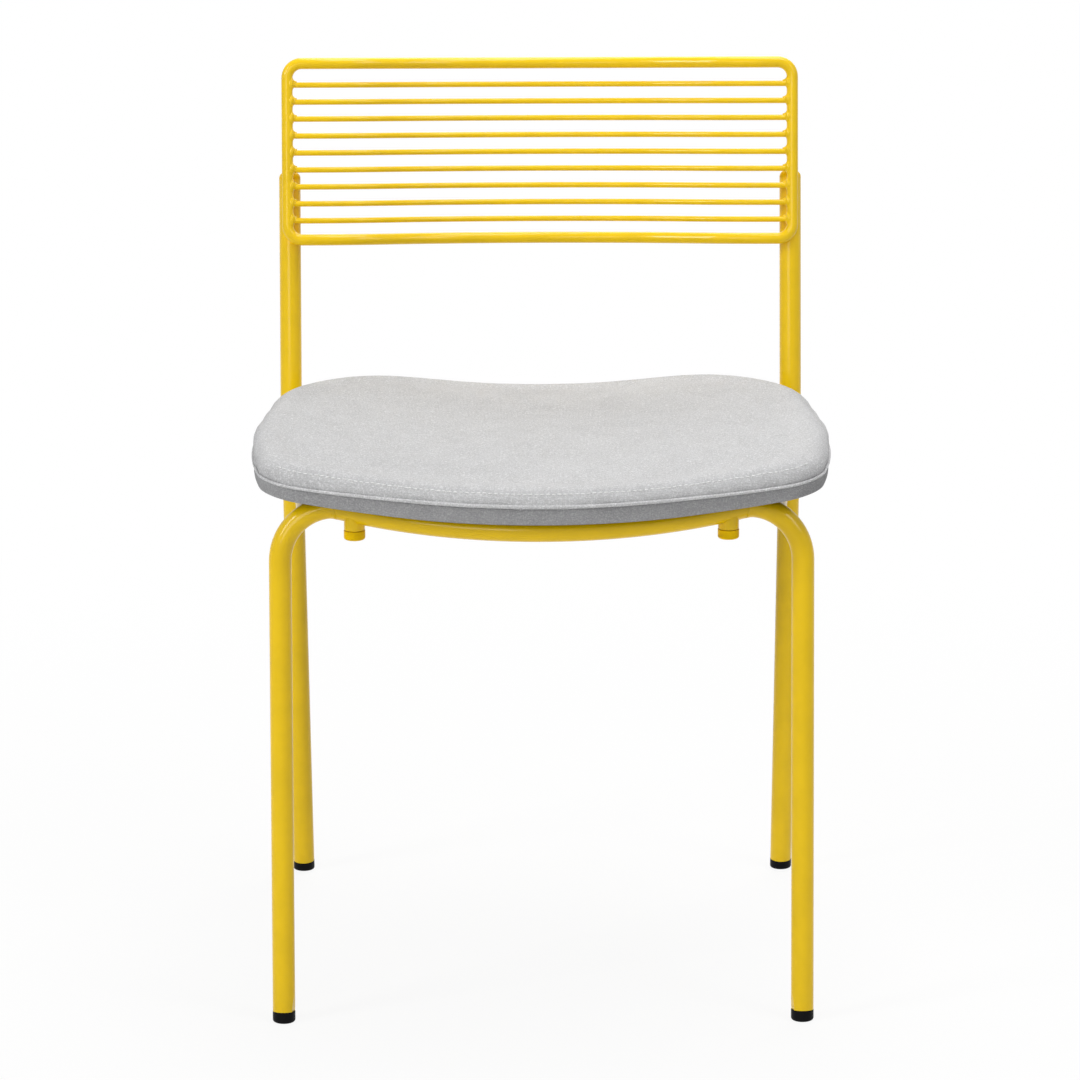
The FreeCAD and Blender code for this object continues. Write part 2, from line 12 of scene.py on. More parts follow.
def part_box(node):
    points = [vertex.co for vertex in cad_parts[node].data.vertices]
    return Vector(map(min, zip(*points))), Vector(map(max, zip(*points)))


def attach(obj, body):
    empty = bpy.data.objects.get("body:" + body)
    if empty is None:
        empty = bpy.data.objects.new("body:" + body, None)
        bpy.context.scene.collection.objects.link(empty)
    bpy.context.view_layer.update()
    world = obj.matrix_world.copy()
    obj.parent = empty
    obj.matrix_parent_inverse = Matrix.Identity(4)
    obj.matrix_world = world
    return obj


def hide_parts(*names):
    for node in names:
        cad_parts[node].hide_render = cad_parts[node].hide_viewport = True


bl_info = {
    "name": "Wire-Back Dining Chair",
    "version": (1, 0, 0),
    "blender": (4, 5, 0),
    "location": "View3D > Sidebar > Chair",
    "description": "Upholstery, finishes and studio for a welded tube chair with a wire back",
    "category": "Object",
}

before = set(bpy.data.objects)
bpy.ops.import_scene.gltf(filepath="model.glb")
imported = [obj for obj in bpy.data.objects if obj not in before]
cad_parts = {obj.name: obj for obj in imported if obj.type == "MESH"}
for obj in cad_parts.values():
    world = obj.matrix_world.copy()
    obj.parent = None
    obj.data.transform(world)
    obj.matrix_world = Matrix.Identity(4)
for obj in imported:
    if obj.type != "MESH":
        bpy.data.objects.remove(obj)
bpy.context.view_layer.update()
WELT_LOW, WELT_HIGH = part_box("seat_welt")
BOARD_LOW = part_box("seat_board")[0]

WIRES = 9
COATED = [
    "front_leg_left", "front_leg_right", "front_rail", "rear_upright_left", "rear_upright_right",
    "side_rail_left", "side_rail_right", "rear_rail", "back_loop", "bumper_stub_left",
    "bumper_stub_right", "seat_tabs", "frame_welds", "loop_welds", "wire_welds",
] + ["back_wire_%d" % (k + 1) for k in range(WIRES)]
CAPS = ["upright_cap_left", "upright_cap_right", "bumper_cap_left", "bumper_cap_right"]
GLIDES = ["glide_front_left", "glide_front_right", "glide_rear_left", "glide_rear_right"]
FIXINGS = ["seat_screws", "seat_tee_nuts"]

# Fixed values of the shapes, in metres unless another measure is named

# Seat outline
SEAT_HALF_X = (WELT_HIGH.x - WELT_LOW.x) / 2
SEAT_HALF_Y = (WELT_HIGH.y - WELT_LOW.y) / 2
SEAT_MIDDLE = (WELT_HIGH.y + WELT_LOW.y) / 2
OUTLINE_STEP = 0.006  # longest edge of the outline
NOSE_STEPS = 16  # edges in the nose's round
CORNER_STEPS = 9  # edges in a front or wide corner's round
REAR_STEPS = 16  # edges in a rear corner's round
SAG_START = 0.08  # from mid-width, where the welt begins to drop
SIDE_START = 0.15  # from mid-width, where the side bulge begins
SIDE_FULL = 0.235  # from mid-width, where drop and bulge are complete
TIP_FRONT, TIP_REAR = -0.13, -0.09  # depths between which the side bulge doubles

# Seat pad
TOP_START, TOP_FULL = 0.5, 0.9  # shares of its height where the top becomes free
BULGE_START, BULGE_PEAK, BULGE_END = 0.2, 0.5, 0.95  # shares of its height for the side bulge
REAR_START, REAR_FULL = 0.0, 0.13  # depths between which the rear fullness grows
HUMP_WIDE = 0.055  # half-width of a hump
FOOT_RUN = 0.0045  # height over which the foot is drawn in
SWELL_STEPS = 20  # frames of the cloth simulation
TOP_FACING = 0.7  # least upward part of a top point's normal
RELAX_ROUNDS = 4  # times that the swollen top is smoothed
CREASE_WIDE = 0.0032  # half-width of the crease
STITCH_FADE = 0.02  # depth over which the crease ends
STITCH_LIFT = 0.0001  # height of a stitch's middle above the pad

# Seat welt, border and lining
RIDGE_ANGLE = 1.2  # least angle, in radians, of an edge to be rounded
WELT_ROUND = 0.46  # round of the welt's edges as a share of its size
BORDER_LOW = -0.0005  # foot of the border, from the underside
BORDER_LAP = 0.25  # how far it ends below the welt's middle, in welt sizes
BORDER_IN = 0.0004  # how far it lies inside the outline
BORDER_FOLD = 0.0022  # round of its lower edge
BORDER_CUTS = 5  # cuts across its height
BORDER_TALL = 0.006  # rise of an edge that counts as upright
BORDER_FREE = 0.05  # share of its height below which it isn't drawn in
BORDER_CLOTH = 0.0005  # thickness
RIM_NEAR = 0.004  # distance within which an edge is on the outline
SEAT_HEART = -0.04  # depth of a point well inside the seat
LINING_LOW = -0.0006  # height of the lining, from the underside
LINING_IN = 0.0145  # how far it lies inside the outline
LINING_STRIP = 0.02  # widest strip of its mesh
LINING_CLOTH = 0.0003  # thickness

# Welds
WELD_ROOT = 0.3  # start of a round inside its host, in host radii
WELD_CORE = 0.6  # inner radius of a round, in bar radii
WELD_SLIM = 0.88  # share of the host's width that a round may take
HOLLOW_STEPS = 5  # edges in the hollow of a round
MITRE_REACH = 0.007  # how far a dressed mitre reaches along each tube
MITRE_RINGS = (  # its rings: place along the tubes, and how far proud
    (-MITRE_REACH, -0.00003), (-0.003, 0.0002), (0.0, 0.00036), (0.003, 0.0002),
    (MITRE_REACH, -0.00003), (0.006, -0.001), (0.0, -0.001), (-0.006, -0.001),
)

# Cloth and stage
WEAVE_PITCH = 0.00125  # from one thread to the next
FLOOR_HALF = 40.0  # from the floor's middle to its edge
WHITE_NEAR, WHITE_FAR = 0.3, 1.5  # distances between which the floor turns paper white
WHITE_SHARE = 0.90  # paper white in the floor under the chair
AIM = (0.0, 0.0, 0.45)  # the point that the lamps face
LAMPS = (  # name, place, width and height
    ("top", (0.25, 0.15, 2.4), (1.8, 0.9)),
    ("back", (0.5, 2.1, 2.5), (2.2, 1.2)),
    ("left", (-3.0, -1.9, 2.4), (1.0, 1.6)),
    ("right", (2.4, -2.0, 2.4), (1.2, 1.6)),
    ("front", (-1.5, -4.2, 1.8), (2.2, 1.6)),
)


# Sizes and colours

def length(name, text, default):
    return FloatProperty(name=name, description=text, default=default, unit="LENGTH", precision=4)


def angle(name, text, default):
    return FloatProperty(name=name, description=text, default=default, subtype="ANGLE")


def watts(name, text, default):
    return FloatProperty(name=name, description=text, default=default, unit="POWER")


def plan_point(name, text, default):
    return FloatVectorProperty(name=name, description=text, default=default, size=2,
                               unit="LENGTH", precision=4)


def place(name, text, default):
    return FloatVectorProperty(name=name, description=text, default=default, size=3,
                               subtype="XYZ", unit="LENGTH")


def way(name, text, default):
    return FloatVectorProperty(name=name, description=text, default=default, size=3, subtype="XYZ")


def colour(name, text, default):
    return FloatVectorProperty(name=name, description=text, default=default, size=3,
                               subtype="COLOR", min=0.0, max=1.0)


class ChairSeatSizes(bpy.types.PropertyGroup):
    """Plan, section and stitching of the seat pad."""
    nose: plan_point("Nose", "Corner point at the middle of the front edge", (0.0, -0.2695))
    front: plan_point("Front corner", "Right front corner point", (0.2325, -0.2188))
    wide: plan_point("Wide corner", "Right corner point where the seat is widest",
                     (0.2486, -0.1220))
    rear: plan_point("Rear corner", "Right rear corner point", (0.2150, 0.1735))
    nose_run: length("Nose run", "How far the nose's round reaches along the edge", 0.1130)
    front_run: length("Front run", "How far the front corner's round reaches", 0.0291)
    wide_run: length("Wide run", "How far the wide corner's round reaches", 0.0552)
    rear_run: length("Rear run", "How far the rear corner's round reaches", 0.1440)
    under: length("Underside", "Height of the board's underside at mid-width", BOARD_LOW.z)
    dish_front: length("Front dish", "Dish radius across the front of the seat", 1.774)
    dish_rear: length("Rear dish", "Dish radius across the rear of the seat", 1.110)
    dish_start: length("Dish start", "Depth at which the front radius holds", -0.2885)
    dish_end: length("Dish end", "Depth at which the rear radius holds", 0.1925)
    pad_low: length("Pad foot", "Where the pad starts above the underside", 0.0094)
    pad_high: length("Pad top", "Top of the pad above the underside at its edge", 0.0288)
    crown: length("Crown", "Swell of the pad half way back", 0.003)
    roll: length("Rim roll", "Round of the pad's top rim", 0.0160)
    pad_grow: length("Pad growth", "How far the pad's block stands out of the outline", 0.0002)
    foot_in: length("Foot inset", "How far the pad's foot is drawn in under the welt", 0.0070)
    side_bulge: length("Side bulge", "How far the pad's sides swell out over the welt", 0.0030)
    slack: length("Slack", "How much lower the pad's top starts before it swells", 0.0042)
    hold_run: length("Held rim", "How far from the rim the cloth is fully free to swell", 0.045)
    rear_rise: length("Rear rise", "How much fuller the pad is along its rear edge", 0.0004)
    hump: length("Rear hump", "Extra height of the two humps on the rear edge", 0.0038)
    hump_out: length("Hump place", "How far a hump lies from mid-width", 0.146)
    crease: length("Crease", "Depth of the crease along the topstitching", 0.0005)
    cap: length("Swell limit", "Furthest that the swelling may move a point", 0.005)
    voxel: length("Voxel", "Mesh size of the pad before it swells", 0.005)
    subdivisions: IntProperty(name="Subdivisions", description="Smoothing of the pad", default=1)
    welt: length("Welt height", "Middle of the welt above the underside", 0.0155)
    welt_drop: length("Welt drop", "How much lower the welt runs at the seat's ends", 0.0035)
    welt_size: length("Welt size", "Thickness of the welt", 0.0032)
    welt_ease: length("Welt ease", "How much less proud the welt is along the sides", 0.0010)
    welt_proud: length("Welt proud", "How far the welt stands out of the outline", 0.0014)
    tuck: length("Tuck", "How far the border is tucked in under the welt", 0.0012)
    draw_in: length("Draw-in", "How far the border is drawn in at half its height", 0.0016)
    turn_under: length("Turn-under", "Width of border cloth folded under the board", 0.017)
    stitch_in: length("Stitch row", "How far the topstitch row lies inside the outline", 0.0065)
    stitch_pitch: length("Stitch pitch", "From one stitch to the next", 0.0048)
    stitch_length: length("Stitch length", "Length of one stitch", 0.0037)
    stitch_size: length("Thread", "Thickness of the thread", 0.0013)
    stitch_end: length("Stitch end", "How far back the topstitch row and its crease run", -0.208)


class ChairWeldSizes(bpy.types.PropertyGroup):
    """Bars of the frame and the welds between them; places are those of the right side."""
    rod: length("Loop rod", "Thickness of the loop's rod", 0.010)
    wire: length("Wire", "Thickness of the wires", 0.005)
    tube: length("Tube", "Thickness of the legs, uprights and front rail", 0.019)
    rail: length("Hidden rail", "Thickness of the rails under the seat", 0.016)
    wire_round: length("Wire round", "Hollow round of the weld at a wire's end", 0.0036)
    wire_rise: length("Wire rise", "How far that weld sits above the wire's axis", 0.0010)
    frame_round: length("Frame round", "Hollow round of the weld at a hidden rail's end", 0.0024)
    mitre: place("Mitre", "Where an arm meets the front rail", (0.1738, -0.18437, 0.43513))
    side_start: place("Side rail front", "Front end of a side rail's axis",
                      (0.19655, -0.18508, 0.42908))
    side_end: place("Side rail rear", "Rear end of a side rail's axis", (0.2223, 0.15874, 0.4320))
    rear_end: place("Rear rail end", "End of the rear rail's axis", (0.2223, 0.15874, 0.44888))
    rail_way: way("Rail way", "The way that the front rail leaves its mitre",
                  (-0.8637, -0.4933, -0.1033))
    bend_way: way("Bend way", "The way that a front leg's bend runs at the side rail",
                  (-0.87, 0.06, 0.5))
    rear_way: way("Rear rail way", "The way that the rear rail leaves the upright",
                  (-1.0, 0.0, -0.19))


class ChairColours(bpy.types.PropertyGroup):
    """Finishes of the chair."""
    coat: colour("Powder coat", "Yellow of the tubes and wires", (0.855, 0.56, 0.0))
    plastic: colour("Yellow plastic", "Yellow of the caps", (0.85, 0.535, 0.0))
    cloth: colour("Cloth", "Mean grey of the seat's cloth", (0.508, 0.508, 0.513))
    # The border's grey is the seat cloth darkened as painted shade, for a band that faces down
    # under the welt.
    shaded_border: colour("Border cloth", "Mean grey of the cloth round the side", (0.315, 0.315, 0.32))
    # The welt's grey is the seat cloth made lighter as a painted highlight on the round piping.
    welt: colour("Welt cloth", "Mean grey of the welt", (0.555, 0.555, 0.56))
    thread: colour("Thread", "Grey of the topstitching", (0.80, 0.80, 0.80))
    glide: colour("Glides", "Black of the glides", (0.003, 0.003, 0.0035))
    lining: colour("Lining", "Black of the lining under the seat", (0.018, 0.018, 0.02))
    ply: colour("Plywood", "Face of the seat board", (0.50, 0.33, 0.18))
    zinc: colour("Zinc", "Plating of the screws and nuts", (0.62, 0.63, 0.65))


class ChairStage(bpy.types.PropertyGroup):
    """Camera, floor and lamps."""
    eye: place("Camera", "Where the camera stands", (-0.0038, -5.2202, 1.6481))
    pitch: angle("Pitch", "How far the camera looks down", 0.2418)
    roll: angle("Roll", "Turn of the camera about its own axis", -0.0035)
    yaw: angle("Yaw", "Turn of the camera about the vertical", -0.0005)
    lens: FloatProperty(name="Lens", description="Focal length", default=206.1, unit="CAMERA")
    floor: colour("Floor", "Colour of the floor", (0.85, 0.85, 0.85))
    sky: FloatProperty(name="Room light", description="Even light from all round", default=0.13)
    top: watts("Top lamp", "Power of the lamp overhead", 28.0)
    back: watts("Back lamp", "Power of the high back lamp", 32.0)
    left: watts("Left lamp", "Power of the left lamp", 62.0)
    right: watts("Right lamp", "Power of the right lamp", 26.0)
    front: watts("Front lamp", "Power of the front lamp", 40.0)


# Shader maths

class Sock:
    """A shader socket that can be used in sums."""

    def __init__(self, tree, socket):
        self.tree = tree
        self.socket = socket

    def also(self, name):
        """Another output of the same node."""
        return Sock(self.tree, self.socket.node.outputs[name])

    def math(self, operation, first, second):
        return Nodes(self.tree).node("ShaderNodeMath", {"operation": operation},
                                     {0: first, 1: second})

    def __add__(self, other):
        return self.math("ADD", self, other)

    def __radd__(self, other):
        return self.math("ADD", other, self)

    def __sub__(self, other):
        return self.math("SUBTRACT", self, other)

    def __rsub__(self, other):
        return self.math("SUBTRACT", other, self)

    def __mul__(self, other):
        return self.math("MULTIPLY", self, other)

    def __rmul__(self, other):
        return self.math("MULTIPLY", other, self)


class Nodes:
    """The nodes of a material or a world."""

    def __init__(self, tree):
        self.tree = tree

    def node(self, kind, settings=None, values=None, out=0):
        """Add a node: its settings first, then the values or links of its sockets."""
        node = self.tree.nodes.new(kind)
        for name, value in (settings or {}).items():
            setattr(node, name, value)
        for name, value in (values or {}).items():
            if isinstance(value, Sock):
                self.tree.links.new(value.socket, node.inputs[name])
            else:
                node.inputs[name].default_value = value
        return Sock(self.tree, node.outputs[out])

    def seen_directly(self):
        """1 for the rays that show the background: to the camera, in a gloss or through glass."""
        camera = self.node("ShaderNodeLightPath", out="Is Camera Ray")
        return camera + camera.also("Is Glossy Ray") + camera.also("Is Transmission Ray")


class Finish(Nodes):
    """A material with one Principled shader."""

    def __init__(self, name):
        self.material = bpy.data.materials.new(name)
        self.material.use_nodes = True
        super().__init__(self.material.node_tree)
        self.shader = self.tree.nodes["Principled BSDF"]
        self.place = self.node("ShaderNodeTexCoord", out="Object")

    def noise(self, scale, detail=2.0, roughness=0.5, where=None):
        """Noise with about `scale` bumps to the metre."""
        return self.node("ShaderNodeTexNoise", None, {
            "Vector": where or self.place, "Scale": scale, "Detail": detail,
            "Roughness": roughness})

    def stretched(self, x, y, z):
        """The place on the piece, scaled along each axis."""
        return self.node("ShaderNodeMapping", None, {"Vector": self.place, "Scale": (x, y, z)})

    def ramp(self, value, low, high):
        """0 below low, 1 above high, smooth between."""
        return self.node("ShaderNodeMapRange", {"interpolation_type": "SMOOTHSTEP"}, {
            "Value": value, "From Min": low, "From Max": high}, out="Result")

    def blend(self, share, first, second):
        """Mix two colours; each is a colour or a socket."""
        return self.node("ShaderNodeMix", {"data_type": "RGBA"}, {
            "Factor": share,
            6: first if isinstance(first, Sock) else (*first, 1.0),
            7: second if isinstance(second, Sock) else (*second, 1.0)}, out=2)

    def bump(self, height, distance, strength):
        """Normal of a surface with this height; distance is in metres."""
        return self.node("ShaderNodeBump", None, {
            "Height": height, "Distance": distance, "Strength": strength})

    def feed(self, **sockets):
        """Set or link the shader's sockets; an underscore stands for a space."""
        for name, value in sockets.items():
            slot = self.shader.inputs[name.replace("_", " ")]
            if isinstance(value, Sock):
                self.tree.links.new(value.socket, slot)
            else:
                slot.default_value = (*value, 1.0) if isinstance(value, tuple) else value
        return self.material


def shade(rgb, factor):
    """A colour made darker or lighter."""
    return tuple(min(1.0, c * factor) for c in rgb)


def powder_coat(rgb):
    """Glossy baked coat with a fine orange peel and a little unevenness."""
    finish = Finish("powder_coat")
    peel = finish.noise(750.0)
    pooling = finish.noise(38.0, detail=3.0, roughness=0.55)
    tone = finish.ramp(pooling, 0.3, 0.7)
    return finish.feed(
        Base_Color=finish.blend(tone, shade(rgb, 0.965), shade(rgb, 1.02)),
        Roughness=0.30 + 0.08 * finish.noise(160.0, detail=3.0, roughness=0.6),
        Normal=finish.bump(peel + 0.2 * pooling, distance=0.0001, strength=0.08),
        Specular_IOR_Level=0.08, Coat_Weight=0.45, Coat_Roughness=0.10)


def moulded_plastic(name, rgb, gloss):
    """Moulded plastic with a fine spark-eroded grain and faint flow marks."""
    finish = Finish(name)
    grain = finish.noise(1900.0, detail=3.0, roughness=0.6)
    flow = finish.noise(70.0, detail=4.0, roughness=0.6, where=finish.stretched(1.0, 1.0, 3.0))
    tone = finish.ramp(flow, 0.35, 0.65)
    return finish.feed(
        Base_Color=finish.blend(tone, shade(rgb, 0.92), shade(rgb, 1.05)),
        Roughness=gloss + 0.12 * flow,
        Normal=finish.bump(grain, distance=0.00006, strength=0.5), Specular_IOR_Level=0.08)


def woven_cloth(name, rgb, with_shaded_seam=False):
    """Light heathered plain weave: thread bumps, mixed fibre tones and a soft nap; with a shaded
    seam, a dent and painted shade along the stitched crease.
    """
    finish = Finish(name)
    spot = finish.node("ShaderNodeSeparateXYZ", None, {"Vector": finish.place}, out="X")
    facing = finish.place.also("Normal")
    lie = finish.node("ShaderNodeSeparateXYZ", None, {"Vector": facing}, out="X")
    wander = finish.noise(260.0)
    turns = 2.0 * pi / WEAVE_PITCH

    def threads(axis):
        """Threads side by side along an axis, fading where the surface faces that way."""
        slope = lie.also(axis)
        wave = finish.node("ShaderNodeMath", {"operation": "SINE"},
                           {0: spot.also(axis) * turns + wander * 9.0})
        return wave * (1.0 - slope * slope)

    weave = threads("X") + threads("Y") + threads("Z")
    slub_x = finish.noise(1.0, detail=3.0, roughness=0.6,
                          where=finish.stretched(420.0, 1150.0, 1150.0))
    slub_y = finish.noise(1.0, detail=3.0, roughness=0.6,
                          where=finish.stretched(1150.0, 420.0, 800.0))
    mottle = finish.noise(42.0, detail=4.0, roughness=0.62)
    cloud = finish.noise(9.0, detail=3.0)
    fibre = finish.noise(2400.0)
    heather = slub_x * 0.5 + slub_y * 0.5
    tone = finish.ramp(heather * 0.70 + mottle * 0.12 + cloud * 0.06 + weave * 0.012, 0.30, 0.58)
    grey = finish.blend(tone, shade(rgb, 0.80), shade(rgb, 1.18))
    fleck = finish.ramp(slub_x * slub_y + 0.10 * fibre, 0.33, 0.42)
    grey = finish.blend(fleck * 0.70, grey, shade(rgb, 1.40))
    height = weave * 0.30 + heather * 1.6 + fibre * 0.5
    if with_shaded_seam:
        row = finish.node("ShaderNodeAttribute", {"attribute_name": "seam"}, out="Fac")
        crease = finish.ramp(row, 0.0, 1.0)
        # Painted shade: the grey is darkened towards a dark copy of the cloth along the stitched
        # crease.
        grey = finish.blend(crease * 0.12, grey, shade(rgb, 0.55))
        height = height - crease * 1.5
    return finish.feed(
        Base_Color=grey,
        Roughness=0.86 + 0.10 * mottle,
        Normal=finish.bump(height, distance=0.00028, strength=0.55),
        Sheen_Weight=0.08, Sheen_Roughness=0.5, Specular_IOR_Level=0.12)


def sewing_thread(rgb):
    """Twisted polyester thread."""
    finish = Finish("sewing_thread")
    twist = finish.noise(2600.0)
    return finish.feed(
        Base_Color=finish.blend(twist, shade(rgb, 0.85), shade(rgb, 1.1)),
        Roughness=0.55 + 0.15 * twist,
        Normal=finish.bump(twist, distance=0.0001, strength=0.6))


def nonwoven(rgb):
    """Thin bonded-fibre lining with its scattered bond points."""
    finish = Finish("nonwoven_lining")
    cells = finish.node("ShaderNodeTexVoronoi", None, {
        "Vector": finish.stretched(1.0, 1.0, 0.0), "Scale": 520.0}, out="Distance")
    fibres = finish.noise(900.0, detail=4.0, roughness=0.7)
    bond = finish.ramp(cells, 0.12, 0.4)
    return finish.feed(
        Base_Color=finish.blend(bond, shade(rgb, 1.8), rgb),
        Roughness=0.72 + 0.2 * fibres,
        Normal=finish.bump(bond + fibres * 0.7, distance=0.00015, strength=0.6))


def plywood(rgb):
    """Rotary-cut face veneer, with grain along the chair's width."""
    finish = Finish("plywood")
    figure = finish.noise(14.0, detail=5.0, roughness=0.6, where=finish.stretched(0.25, 2.2, 6.0))
    pores = finish.noise(240.0, detail=3.0, roughness=0.6, where=finish.stretched(0.12, 2.0, 2.0))
    tone = finish.ramp(figure + 0.25 * pores, 0.45, 0.8)
    return finish.feed(
        Base_Color=finish.blend(tone, shade(rgb, 0.72), shade(rgb, 1.25)),
        Roughness=0.55 + 0.2 * pores,
        Normal=finish.bump(pores, distance=0.0002, strength=0.4))


def zinc_plate(rgb):
    """Bright zinc with a faint spangle."""
    finish = Finish("zinc_plate")
    spangle = finish.noise(420.0, detail=3.0, roughness=0.6)
    return finish.feed(
        Base_Color=finish.blend(spangle, shade(rgb, 0.88), shade(rgb, 1.08)),
        Metallic=1.0, Roughness=0.28 + 0.16 * spangle,
        Normal=finish.bump(spangle, distance=0.00004, strength=0.4))


# Modelling helpers

def put_on(material, nodes):
    """Give CAD nodes a material."""
    for name in nodes:
        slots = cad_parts[name].data.materials
        slots.clear()
        slots.append(material)


def smooth_shaded(mesh):
    mesh.polygons.foreach_set("use_smooth", [True] * len(mesh.polygons))


def adopt(name, mesh, material, nodes):
    """Turn a mesh into a piece that rides on the chair and stands for CAD nodes."""
    smooth_shaded(mesh)
    mesh.materials.clear()
    mesh.materials.append(material)
    piece = bpy.data.objects.new(name, mesh)
    bpy.context.scene.collection.objects.link(piece)
    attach(piece, "root")
    if nodes:
        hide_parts(*nodes)
    return piece


def finished_mesh(name, bm):
    """Turn a bmesh into a mesh."""
    mesh = bpy.data.meshes.new(name)
    bm.to_mesh(mesh)
    bm.free()
    return mesh


def new_piece(name, bm, material, nodes):
    """Turn a bmesh into such a piece."""
    return adopt(name, finished_mesh(name, bm), material, nodes)


def give_wall(piece, thickness, offset):
    """Give a sheet its thickness."""
    wall = piece.modifiers.new("cloth", "SOLIDIFY")
    wall.thickness = thickness
    wall.offset = offset


def new_verts(made):
    """The vertices that an operator has made."""
    return [v for v in made["geom"] if isinstance(v, bmesh.types.BMVert)]


def face_outwards(bm):
    bmesh.ops.recalc_face_normals(bm, faces=bm.faces[:])


def round_off(bm, geom, offset, segments, affect="EDGES"):
    """Bevel edges or vertices to a round."""
    bmesh.ops.bevel(bm, geom=geom, offset=offset, offset_type="OFFSET", segments=segments,
                    profile=0.5, affect=affect, material=-1, clamp_overlap=False)


def ease(value, low, high):
    """0 below low, 1 above high, smooth between."""
    share = min(1.0, max(0.0, (value - low) / (high - low)))
    return share * share * (3.0 - 2.0 * share)


def dish_height(seat, x, y):
    """Height of the seat board's underside."""
    share = (y - seat.dish_start) / (seat.dish_end - seat.dish_start)
    radius = 1.0 / ((1.0 - share) / seat.dish_front + share / seat.dish_rear)
    return seat.under + radius - sqrt(radius * radius - x * x)


def seat_face(bm, seat, z, grow):
    """The seat's plan as one face, at a height above the underside, grown or drawn in."""
    right = [(seat.front, seat.front_run, CORNER_STEPS), (seat.wide, seat.wide_run, CORNER_STEPS),
             (seat.rear, seat.rear_run, REAR_STEPS)]
    corners = [(seat.nose[0], seat.nose[1], seat.nose_run, NOSE_STEPS)]
    corners += [(p[0], p[1], run, steps) for p, run, steps in right]
    corners += [(-p[0], p[1], run, steps) for p, run, steps in reversed(right)]
    verts = [bm.verts.new((corner[0], corner[1], z)) for corner in corners]
    bm.faces.new(verts)
    for vert, corner in zip(verts, corners):
        round_off(bm, [vert], corner[2], corner[3], affect="VERTICES")
    for edge in list(bm.edges):
        cuts = ceil(edge.calc_length() / OUTLINE_STEP) - 1
        if cuts > 0:
            bmesh.ops.subdivide_edges(bm, edges=[edge], cuts=cuts)
    bmesh.ops.scale(bm, vec=(1 + grow / SEAT_HALF_X, 1 + grow / SEAT_HALF_Y, 1.0), verts=bm.verts,
                    space=Matrix.Translation((0.0, -SEAT_MIDDLE, 0.0)))
    face = bm.faces[:][0]
    if face.normal.z < 0:
        face.normal_flip()
    bm.normal_update()
    return face


def inset_seat(bm, seat, z, grow, width):
    """The seat's plan with its rim inset by a width; gives the inner face."""
    face = seat_face(bm, seat, z, grow)
    bmesh.ops.inset_region(bm, faces=[face], thickness=width, use_even_offset=True,
                           use_boundary=True)
    return face


def flank(x, y):
    """Share of the side bulge: none at mid-width, half at the widest point, all behind it."""
    return (0.5 + 0.5 * ease(y, TIP_FRONT, TIP_REAR)) * ease(abs(x), SIDE_START, SIDE_FULL)


def welt_sag(seat, x):
    """How much lower the welt runs at a distance from mid-width."""
    return seat.welt_drop * ease(abs(x), SAG_START, SIDE_FULL)


def drop_on_dish(bm, seat, sagging=False):
    """Bend a piece made on the flat to the seat's dish; a sagging one follows the welt too."""
    for vert in bm.verts:
        x, y, z = vert.co
        sag = welt_sag(seat, x) * max(0.0, z / seat.welt) if sagging else 0.0
        vert.co.z += dish_height(seat, x, y) - sag


def rim_tree(seat):
    """Lookup of the distance from the seat's outline."""
    bm = bmesh.new()
    seat_face(bm, seat, 0.0, 0.0)
    bmesh.ops.subdivide_edges(bm, edges=bm.edges[:], cuts=3)
    tree = KDTree(len(bm.verts))
    for k, vert in enumerate(bm.verts):
        tree.insert(vert.co, k)
    tree.balance()
    bm.free()
    return tree


def rim_distance(rim, point):
    return rim.find((point.x, point.y, 0.0))[2]


# Seat pieces

def pad_block(seat):
    """The pad on the flat: a block with a rolled top rim, remeshed."""
    bm = bmesh.new()
    face = seat_face(bm, seat, seat.pad_low, seat.pad_grow)
    made = bmesh.ops.extrude_face_region(bm, geom=[face])
    bmesh.ops.translate(bm, vec=(0.0, 0.0, seat.pad_high - seat.pad_low), verts=new_verts(made))
    lid = next(f for f in made["geom"] if isinstance(f, bmesh.types.BMFace))
    round_off(bm, lid.edges[:], seat.roll, 6)
    face_outwards(bm)
    block = bpy.data.objects.new("pad_block", finished_mesh("pad_block", bm))
    bpy.context.scene.collection.objects.link(block)
    remesh = block.modifiers.new("voxels", "REMESH")
    remesh.mode = "VOXEL"
    remesh.voxel_size = seat.voxel
    graph = bpy.context.evaluated_depsgraph_get()
    shaped = bpy.data.meshes.new_from_object(block.evaluated_get(graph))
    bpy.data.objects.remove(block)
    return shaped


def lay_pad(seat, mesh, rim):
    """Lay the flat pad slack on the dish; gives how firmly each point is held."""
    bm = bmesh.new()
    bm.from_mesh(mesh)
    bmesh.ops.smooth_vert(bm, verts=bm.verts[:], factor=0.5, use_axis_x=True, use_axis_y=True,
                          use_axis_z=True)
    held = []
    for vert in bm.verts:
        x, y, z = vert.co
        lift = (z - seat.pad_low) / (seat.pad_high - seat.pad_low)
        inside = ease(rim_distance(rim, vert.co), seat.roll, seat.hold_run)
        free = inside * ease(lift, TOP_START, TOP_FULL)
        held.append(1.0 - free)
        crown = seat.crown * (1.0 - ((y - SEAT_MIDDLE) / SEAT_HALF_Y) ** 2)
        hump = seat.hump * exp(-((abs(x) - seat.hump_out) / HUMP_WIDE) ** 2)
        full = crown + (seat.rear_rise + hump) * ease(y, REAR_START, REAR_FULL)
        sag = (1.0 - lift) * welt_sag(seat, x)
        vert.co.z = z + dish_height(seat, x, y) + lift * full - seat.slack * free - sag
        foot = 1.0 - ease(z, seat.pad_low, seat.pad_low + FOOT_RUN)
        tuck = 1.0 - seat.foot_in / SEAT_HALF_Y * foot
        over = ease(lift, BULGE_START, BULGE_PEAK) * (1.0 - ease(lift, BULGE_PEAK, BULGE_END))
        vert.co.x = x * tuck + copysign(seat.side_bulge * over * flank(x, y), x)
        vert.co.y = SEAT_MIDDLE + (y - SEAT_MIDDLE) * tuck
    bm.to_mesh(mesh)
    bm.free()
    return held


